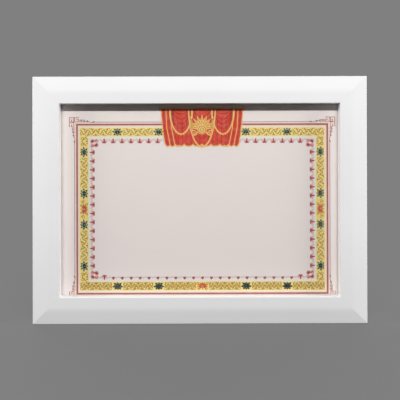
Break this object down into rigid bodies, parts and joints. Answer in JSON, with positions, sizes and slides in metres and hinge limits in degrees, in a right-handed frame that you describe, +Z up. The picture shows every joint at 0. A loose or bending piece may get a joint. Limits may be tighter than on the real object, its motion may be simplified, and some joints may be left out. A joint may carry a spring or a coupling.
{
  "type": "certificate frame",
  "caption": "Landscape certificate frame: white mitred moulding with a deep inner wall, glass, A4 sheet, backing board held by turn buttons, and two D-ring hangers.",
  "frame": {"origin": "middle of the flat underside of the bottom rail, at z = 0", "axes": "+X along the frame's long side, to the right seen from the front; +Y from the front to the back; +Z up"},
  "size_m": [0.346, 0.0243, 0.256],
  "materials": {
    "moulding": "satin white foil over a polystyrene composite moulding",
    "glass": "clear float glass, polished",
    "certificate_paper": "uncoated off white paper with a printed red and gold border",
    "grey_card": "rough grey packing card",
    "board": "smooth bare medium density fibreboard",
    "plated_steel": "bright zinc plated pressed steel",
    "screw_steel": "bright zinc plated steel",
    "nail_steel": "dull bare spring steel",
    "bumper_rubber": "matt black rubber"
  },
  "bodies": {
    "frame": {"backing_board": "board", "bottom_rail": "moulding", "button_screw_bottom_left": "screw_steel", "button_screw_bottom_right": "screw_steel", "button_screw_left_side": "screw_steel", "button_screw_right_side": "screw_steel", "button_screw_top_left": "screw_steel", "button_screw_top_right": "screw_steel", "certificate_sheet": "certificate_paper", "glass_pane": "glass", "hanger_screw_left": "screw_steel", "hanger_screw_right": "screw_steel", "hanger_strap_left": "plated_steel", "hanger_strap_right": "plated_steel", "left_rail": "moulding", "packing_card": "grey_card", "right_rail": "moulding", "top_rail": "moulding", "v_nails_bottom_left": "nail_steel", "v_nails_bottom_right": "nail_steel", "v_nails_top_left": "nail_steel", "v_nails_top_right": "nail_steel", "wall_bumper_left": "bumper_rubber", "wall_bumper_right": "bumper_rubber"},
    "hanger_ring_left": {"hanger_ring_left": "plated_steel"},
    "hanger_ring_right": {"hanger_ring_right": "plated_steel"},
    "turn_button_bottom_left": {"turn_button_bottom_left": "plated_steel"},
    "turn_button_bottom_right": {"turn_button_bottom_right": "plated_steel"},
    "turn_button_left_side": {"turn_button_left_side": "plated_steel"},
    "turn_button_right_side": {"turn_button_right_side": "plated_steel"},
    "turn_button_top_left": {"turn_button_top_left": "plated_steel"},
    "turn_button_top_right": {"turn_button_top_right": "plated_steel"}
  },
  "joints": [
    {"name": "top_left_button_turn", "type": "hinge", "parent": "frame", "child": "turn_button_top_left", "pos_m": [-0.0754, 0.009, 0.242], "axis": [0, 1, 0], "continuous": true},
    {"name": "top_right_button_turn", "type": "hinge", "parent": "frame", "child": "turn_button_top_right", "pos_m": [0.0754, 0.009, 0.242], "axis": [0, 1, 0], "continuous": true},
    {"name": "bottom_left_button_turn", "type": "hinge", "parent": "frame", "child": "turn_button_bottom_left", "pos_m": [-0.0754, 0.009, 0.014], "axis": [0, 1, 0], "continuous": true},
    {"name": "bottom_right_button_turn", "type": "hinge", "parent": "frame", "child": "turn_button_bottom_right", "pos_m": [0.0754, 0.009, 0.014], "axis": [0, 1, 0], "continuous": true},
    {"name": "left_side_button_turn", "type": "hinge", "parent": "frame", "child": "turn_button_left_side", "pos_m": [-0.159, 0.009, 0.128], "axis": [0, 1, 0], "continuous": true},
    {"name": "right_side_button_turn", "type": "hinge", "parent": "frame", "child": "turn_button_right_side", "pos_m": [0.159, 0.009, 0.128], "axis": [0, 1, 0], "continuous": true},
    {"name": "left_ring_swing", "type": "hinge", "parent": "frame", "child": "hanger_ring_left", "pos_m": [-0.162, 0.01095, 0.192], "axis": [1, 0, 0], "range_deg": [0, 175]},
    {"name": "right_ring_swing", "type": "hinge", "parent": "frame", "child": "hanger_ring_right", "pos_m": [0.162, 0.01095, 0.192], "axis": [1, 0, 0], "range_deg": [0, 175]}
  ]
}
